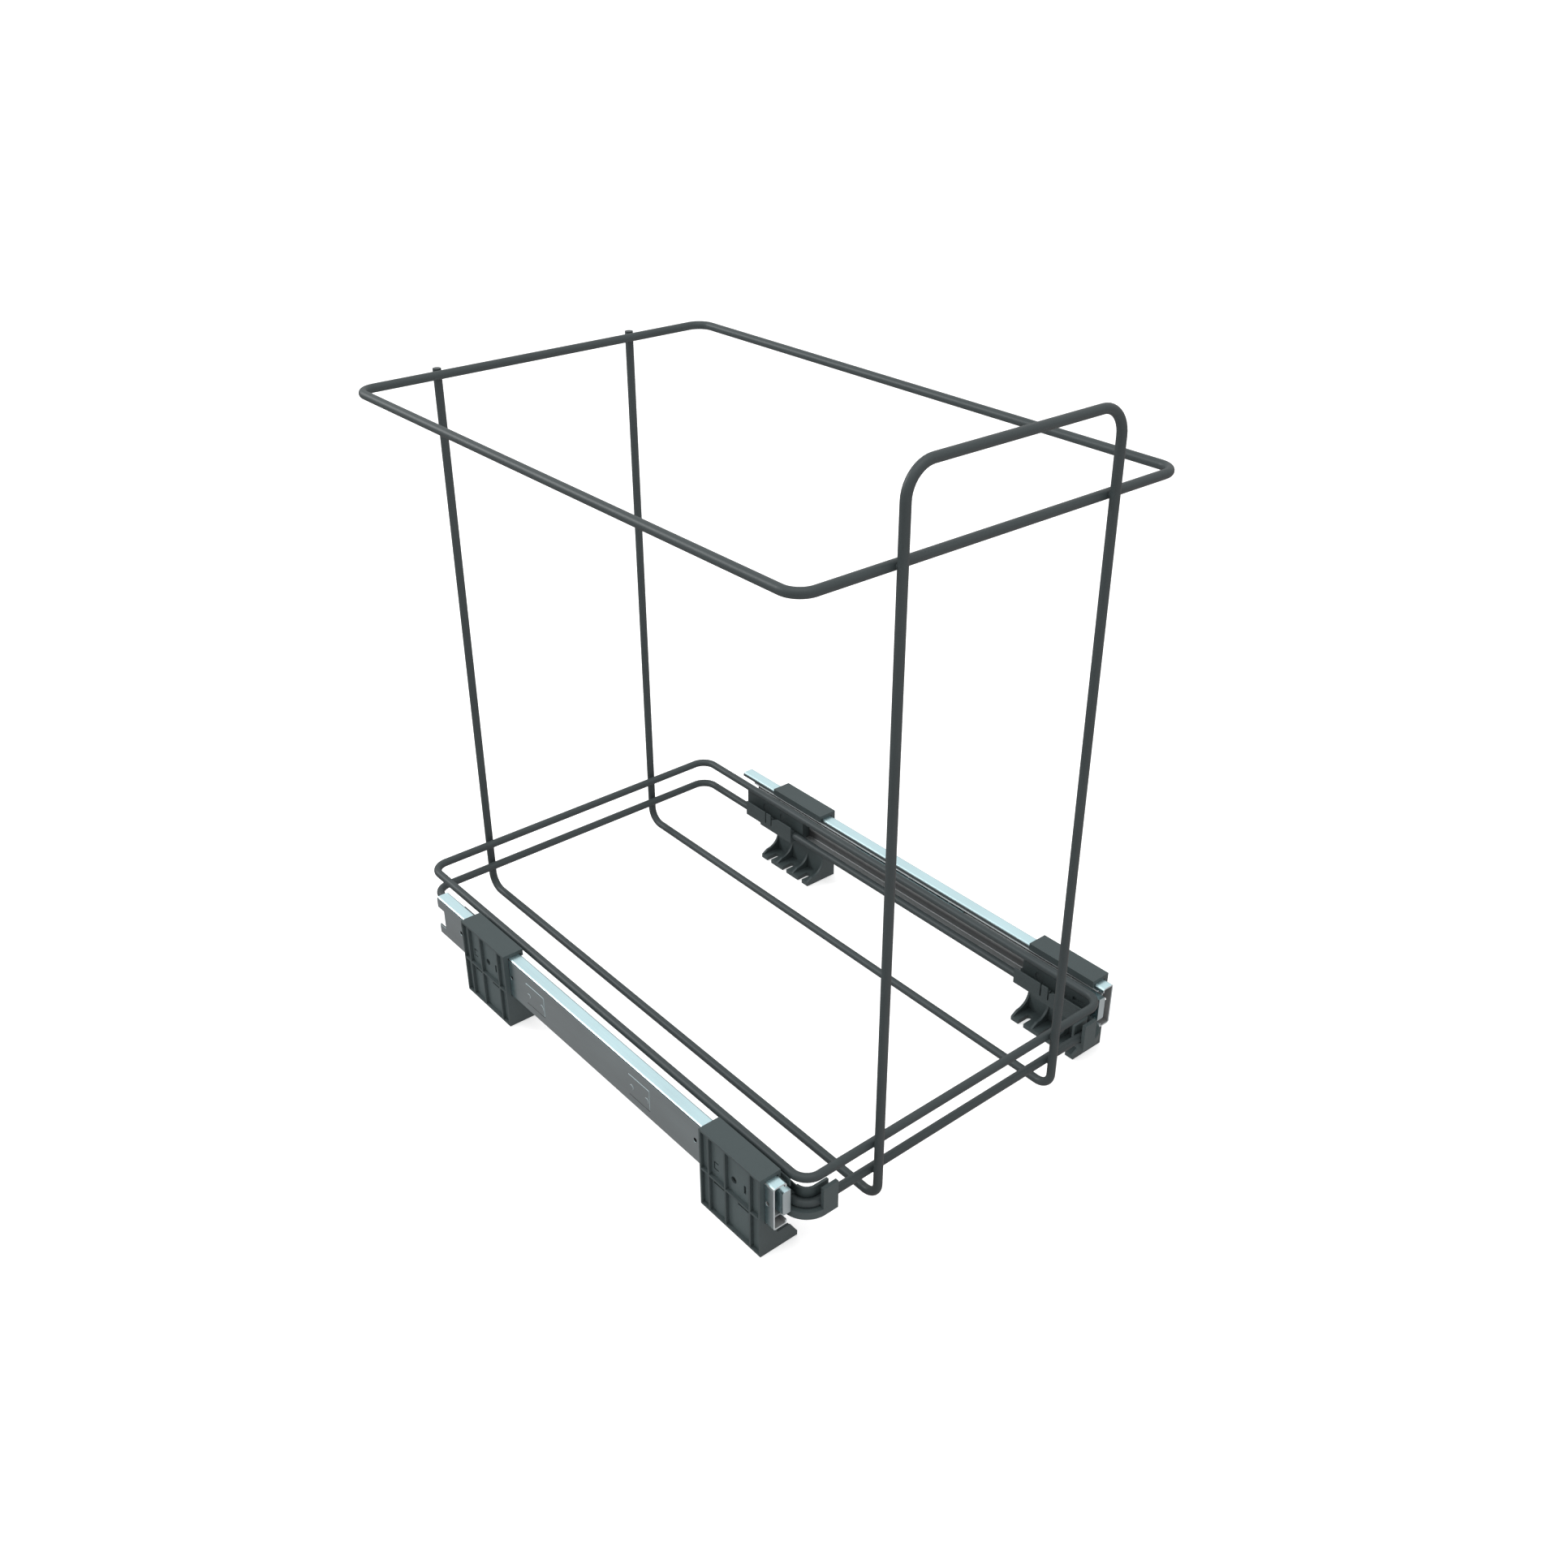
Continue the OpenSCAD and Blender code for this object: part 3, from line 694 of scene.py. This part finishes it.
def weld_tree(coat):
    """Tree that sets one flattened bead on each point."""
    tree = bpy.data.node_groups.new("weld beads", "GeometryNodeTree")
    face = tree.interface
    face.new_socket("Geometry", in_out="INPUT", socket_type="NodeSocketGeometry")
    sizes = {"Reach": "NodeSocketFloat", "Depth": "NodeSocketFloat", "Facets": "NodeSocketInt"}
    for name, kind in sizes.items():
        face.new_socket(name, in_out="INPUT", socket_type=kind)
    face.new_socket("Geometry", in_out="OUTPUT", socket_type="NodeSocketGeometry")
    entry = tree.nodes.new("NodeGroupInput")
    bead = tree.nodes.new("GeometryNodeMeshUVSphere")
    scale = tree.nodes.new("ShaderNodeCombineXYZ")
    spread = tree.nodes.new("GeometryNodeInstanceOnPoints")
    smooth = tree.nodes.new("GeometryNodeSetShadeSmooth")
    real = tree.nodes.new("GeometryNodeRealizeInstances")
    paint = tree.nodes.new("GeometryNodeSetMaterial")
    leave = tree.nodes.new("NodeGroupOutput")
    bead.inputs["Radius"].default_value = 1.0
    paint.inputs["Material"].default_value = coat
    link = tree.links.new
    link(entry.outputs["Facets"], bead.inputs["Segments"])
    link(entry.outputs["Facets"], bead.inputs["Rings"])
    link(entry.outputs["Reach"], scale.inputs["X"])
    link(entry.outputs["Depth"], scale.inputs["Y"])
    link(entry.outputs["Reach"], scale.inputs["Z"])
    link(entry.outputs["Geometry"], spread.inputs["Points"])
    link(bead.outputs["Mesh"], smooth.inputs["Geometry"])
    link(smooth.outputs["Geometry"], spread.inputs["Instance"])
    link(scale.outputs["Vector"], spread.inputs["Scale"])
    link(spread.outputs["Instances"], real.inputs["Geometry"])
    link(real.outputs["Geometry"], paint.inputs["Geometry"])
    link(paint.outputs["Geometry"], leave.inputs["Geometry"])
    return tree


def set_input(modifier, name, value):
    """Sets a tree's input by the identifier of its socket."""
    for item in modifier.node_group.interface.items_tree:
        if item.item_type == "SOCKET" and item.in_out == "INPUT" and item.name == name:
            modifier[item.identifier] = value


class BINFRAME_OT_welds(bpy.types.Operator):
    """Sets a weld bead at each crossing of a post and a ring"""

    bl_idname = "binframe.welds"
    bl_label = "Weld beads"

    def execute(self, context):
        sizes = looks().sizes
        post_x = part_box("carrier_wire")[1].x - wire_radius()
        points = []
        for node in WIRES[1:]:
            below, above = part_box(node)
            height = (below.z + above.z) / 2
            for x in (-post_x, post_x):
                points.append((x, below.y, height))
                points.append((x, above.y, height))
        mesh = bpy.data.meshes.new("weld_beads")
        mesh.from_pydata(points, [], [])
        piece = bpy.data.objects.new("weld_beads", mesh)
        context.scene.collection.objects.link(piece)
        coat = frame["nodes"]["carrier_wire"].data.materials[0]
        modifier = piece.modifiers.new("beads", "NODES")
        modifier.node_group = weld_tree(coat)
        set_input(modifier, "Reach", sizes.weld_reach)
        set_input(modifier, "Depth", sizes.weld_depth)
        set_input(modifier, "Facets", sizes.weld_turns)
        plain_mesh(piece)
        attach(piece, "carriage")
        return {"FINISHED"}


def slit_cutter(node, sizes):
    """Two bars that cut the slits under a bracket's middle rib."""
    low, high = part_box(node)
    side = side_of(node)
    floor = max(abs(low.x), abs(high.x)) - sizes.rib_depth
    spare = sizes.cell_wall / 2
    above = sizes.slit_level + sizes.slit_height
    shape = bmesh.new()
    for back in (sizes.slit_first, sizes.slit_second):
        front = high.y - back
        outline = oblong(front, front + sizes.slit_length, sizes.slit_level, above)
        prism(shape, outline, side * (floor - sizes.cell_wall - spare), side * (floor + spare))
    return linked("slit_cutter", shape)


def cradle_span(node, sizes):
    """Front and back end of a holder's straight cradle."""
    low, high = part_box(node)
    if "back" in node:
        return low.y + sizes.wall_over, high.y - sizes.wall_over
    ring_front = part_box("lower_base_ring")[0].y
    return ring_front + wire_radius() + sizes.ring_bend, high.y


def add_cradle_wall(shape, node, sizes):
    """Adds the flat inner wall of a cradle: two lengths with a tongue between them."""
    ring_low, ring_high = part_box("lower_base_ring")
    radius = wire_radius()
    side = side_of(node)
    first, last = cradle_span(node, sizes)
    level = ring_low.z + radius
    top = level + sizes.cradle_rise
    foot = level - radius / 10
    half = sizes.tongue_slit / 2
    behind_slit = last - sizes.tongue_back
    front_slit = behind_slit - sizes.tongue_width - sizes.tongue_slit
    edge = front_slit - half
    sloped = [
        (first, foot),
        (edge, foot),
        (edge, top - sizes.slope_drop),
        (edge - sizes.slope_length, top),
        (first, top),
    ]
    near = side * (ring_high.x - 2 * radius - sizes.cradle_gap)
    far = near - side * sizes.cradle_wall
    prism(shape, sloped, near, far)
    prism(shape, oblong(front_slit + half, behind_slit - half, foot, top), near, far)
    prism(shape, oblong(behind_slit + half, last, foot, top), near, far)


def add_plate_rim(shape, node, sizes):
    """Adds the rim of a front holder's outer wall and the tab beside the upper ring."""
    rail_low, rail_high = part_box(node.replace("holder_front", "inner_rail"))
    side = side_of(node)
    first, last = cradle_span(node, sizes)
    outer_x = min(abs(rail_low.x), abs(rail_high.x)) - sizes.seat_gap
    inner_x = outer_x - sizes.plate_wall
    foot = rail_high.z - 2 * sizes.sheet
    top = rail_high.z + sizes.plate_rise
    rim = oblong(first, last - sizes.plate_step, foot, top)
    prism(shape, rim, side * outer_x, side * inner_x)
    tab_front = first - sizes.tab_front
    tab_back = first + sizes.tab_run
    tab = oblong(tab_front, tab_back, foot + sizes.sheet, top + sizes.tab_rise)
    prism(shape, tab, side * (inner_x + sizes.tab_wall), side * inner_x)


def inner_wall(node, sizes, material):
    """The walls that stand on a holder's cradle, as one piece."""
    shape = bmesh.new()
    add_cradle_wall(shape, node, sizes)
    if "front" in node:
        add_plate_rim(shape, node, sizes)
    piece = linked(f"{node}_inner_wall", shape)
    piece.data.materials.append(material)
    round_edges(piece, sizes.moulded_edge)
    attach(piece, body_of(node))


class BINFRAME_OT_mouldings(bpy.types.Operator):
    """Rounds and grains the brackets and holders, and adds the cradles' walls"""

    bl_idname = "binframe.mouldings"
    bl_label = "Mouldings"

    def execute(self, context):
        sizes = looks().sizes
        look = looks().moulded
        edge = sizes.moulded_edge
        # Painted light on the floors of the brackets' cells
        lit_cell_floors = cell_floors(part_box("bracket_front_right"), sizes.rib_depth)
        grain = moulded_plastic(look, "bracket moulding", 1.0, lit_cell_floors)
        for node in BRACKETS:
            softened(node, "moulding", edge, grain, slit_cutter(node, sizes))
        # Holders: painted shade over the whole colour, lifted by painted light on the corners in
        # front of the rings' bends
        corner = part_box("lower_base_ring")[0].y + sizes.ring_bend
        grain = moulded_plastic(look, "holder moulding", 0.82, front_of(corner))
        for node in HOLDERS:
            softened(node, "moulding", edge, grain)
            inner_wall(node, sizes, grain)
        return {"FINISHED"}


class BINFRAME_OT_rails(bpy.types.Operator):
    """Rounds and plates the six rails"""

    bl_idname = "binframe.rails"
    bl_label = "Rails"

    def execute(self, context):
        sizes = looks().sizes
        sheet = sizes.sheet
        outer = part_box("outer_rail_right")
        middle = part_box("middle_rail_right")
        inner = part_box("inner_rail_right")
        brackets = [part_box(node) for node in BRACKETS if node.endswith("right")]
        covers = [(low.y, high.y) for low, high in brackets]
        films = {
            "outer": (
                # Outer rail: painted shade inside, on its lips and under the brackets; faint painted
                # light inside its front end; bare cut face lightened with painted light; painted
                # light on the pad edges; painted shade in the pad slits
                (SOFT_PAINTED_SHADE, inside_of(outer, sheet)),
                (DEEP_PAINTED_SHADE, shaded_outer(outer, sheet, covers)),
                (FAINT_PAINTED_LIGHT, front_inside(outer, sheet)),
                (PALE_MATT_GREY, cut_end(outer)),
                (PAINTED_LIGHT, pad_edges(outer, sizes.pad_proud)),
                (DEEP_PAINTED_SHADE, pad_slits(outer, sizes.pad_reach, sizes.pad_slit)),
            ),
            "middle": (
                # Middle rail: soft painted shade all over, deep painted shade behind its front end,
                # painted light on its front end and on the rim of its mouth
                (SOFT_PAINTED_SHADE, everywhere),
                (DEEP_PAINTED_SHADE, past_front_end(middle)),
                (PALE_MATT_GREY, front_end(middle)),
                (PAINTED_LIGHT, pale_mouth(middle, sheet)),
            ),
            "inner": (
                # Inner rail: soft painted shade behind its front end, a band of deep painted shade on
                # its web, painted light on its races
                (SOFT_PAINTED_SHADE, past_front_end(inner)),
                (DEEP_PAINTED_SHADE, shaded_band(inner)),
                (PAINTED_LIGHT, pale_inner(inner, sheet)),
            ),
        }
        plates = {}
        for stage, layers in films.items():
            plates[stage] = zinc_plate(looks().zinc, f"{stage} zinc", layers)
        for node in RAILS:
            softened(node, "sheet", sizes.sheet_edge, plates[node.split("_")[0]])
        return {"FINISHED"}


class BINFRAME_OT_bearings(bpy.types.Operator):
    """Finishes cages, balls, screws and buffers"""

    bl_idname = "binframe.bearings"
    bl_label = "Bearings and fixings"

    def execute(self, context):
        plate = zinc_plate(looks().zinc, "cage sheet")
        steel = bearing_steel()
        coated = coated_steel()
        rubber = buffer_rubber()
        finishes = ((CAGES, plate), (BALLS, steel), (SCREWS, coated), (BUFFERS, rubber))
        for nodes, material in finishes:
            for node in nodes:
                dress(node, material)
        return {"FINISHED"}


def studio_floor():
    """A wide pale floor just under the brackets' feet."""
    s = new_finish("pale floor")
    drift = s.noise(s.place(), scale=1.5)
    paper = s.mix(drift, (0.74, 0.74, 0.74, 1.0), (0.76, 0.76, 0.76, 1.0))
    s.finish(
        Base_Color=paper,
        Roughness=0.9,
        Emission_Color=(1.0, 1.0, 1.0, 1.0),
        Emission_Strength=0.46,
    )
    far = 80.0
    under = 0.0004
    corners = [(-far, -far), (far, -far), (far, far), (-far, far)]
    mesh = bpy.data.meshes.new("studio_floor")
    mesh.from_pydata([(x, y, -under) for x, y in corners], [], [(0, 1, 2, 3)])
    mesh.materials.append(s.owner)
    floor = bpy.data.objects.new("studio_floor", mesh)
    floor.visible_glossy = False
    bpy.context.scene.collection.objects.link(floor)


def studio_dome():
    """A white dome that darkens towards the horizon, most of all on the left and behind."""
    s = Shade(bpy.data.worlds.new("studio dome"), "Background")
    x = s.axis("X", source="Generated")
    y = s.axis("Y", source="Generated")
    z = s.axis("Z", source="Generated")
    dim = (0.25, 0.205, 0.20, 1.0)
    soft = (0.52, 0.43, 0.42, 1.0)
    white = (1.0, 1.0, 1.0, 1.0)
    horizon = s.mix(s.band(x - y, -0.6, 0.9), dim, soft)
    dome = s.mix(s.band(z, 0.0, 0.35), horizon, white)
    bpy.context.scene.world = s.finish(Color=dome, Strength=1.0)


def facing(direction):
    """Turn of a lamp or a camera that looks along a direction."""
    return direction.to_track_quat("-Z", "Y").to_euler()


Lamp = namedtuple("Lamp", "name place wide high power")
LAMPS = (
    Lamp("overhead_panel", (-0.4, -0.5, 2.6), 2.4, 1.8, 26.0),
    Lamp("rim_panel", (-1.2, 1.65, 1.35), 0.7, 0.7, 22.0),
)


def studio_lamps():
    """Soft panels that are aimed at the frame's base."""
    target = Vector((0.0, 0.0, 0.1))
    for lamp in LAMPS:
        light = bpy.data.lights.new(lamp.name, "AREA")
        light.shape = "RECTANGLE"
        light.size = lamp.wide
        light.size_y = lamp.high
        light.energy = lamp.power
        panel = bpy.data.objects.new(lamp.name, light)
        panel.location = lamp.place
        panel.rotation_euler = facing(target - panel.location)
        bpy.context.scene.collection.objects.link(panel)


def photo_camera():
    """The camera at the photograph's place and angle."""
    view = bpy.data.cameras.new("camera")
    view.sensor_width = 36.0
    view.lens = 35.683
    view.clip_start = 0.01
    camera = bpy.data.objects.new("camera", view)
    camera.location = (-0.58126, -0.73698, 0.72291)
    turn = math.radians(-40.0)
    tilt = math.radians(30.0)
    level = math.cos(tilt)
    ahead = Vector((-math.sin(turn) * level, math.cos(turn) * level, -math.sin(tilt)))
    camera.rotation_euler = facing(ahead)
    bpy.context.scene.collection.objects.link(camera)
    bpy.context.scene.camera = camera


class BINFRAME_OT_stage(bpy.types.Operator):
    """Sets the floor, the light and the camera"""

    bl_idname = "binframe.stage"
    bl_label = "Studio"

    def execute(self, context):
        studio_floor()
        studio_dome()
        studio_lamps()
        photo_camera()
        context.scene.view_settings.view_transform = "Standard"
        return {"FINISHED"}


class BINFRAME_PT_panel(bpy.types.Panel):
    """Lists the steps that dress the bin frame"""

    bl_idname = "BINFRAME_PT_panel"
    bl_label = "Bin frame"
    bl_space_type = "VIEW_3D"
    bl_region_type = "UI"
    bl_category = "Bin frame"

    def draw(self, context):
        for step in STEPS:
            self.layout.operator(step.bl_idname)


STEPS = (
    BINFRAME_OT_wires,
    BINFRAME_OT_welds,
    BINFRAME_OT_mouldings,
    BINFRAME_OT_rails,
    BINFRAME_OT_bearings,
    BINFRAME_OT_stage,
)
CLASSES = (FinishLook, FrameSizes, BinFrameLooks) + STEPS + (BINFRAME_PT_panel,)


def register():
    for cls in CLASSES:
        bpy.utils.register_class(cls)
    bpy.types.Scene.bin_frame = PointerProperty(type=BinFrameLooks)


def unregister():
    del bpy.types.Scene.bin_frame
    for cls in reversed(CLASSES):
        bpy.utils.unregister_class(cls)


def main():
    register()
    set_finishes()
    bpy.ops.binframe.wires()
    bpy.ops.binframe.welds()
    bpy.ops.binframe.mouldings()
    bpy.ops.binframe.rails()
    bpy.ops.binframe.bearings()
    bpy.ops.binframe.stage()


if __name__ == "__main__":
    main()
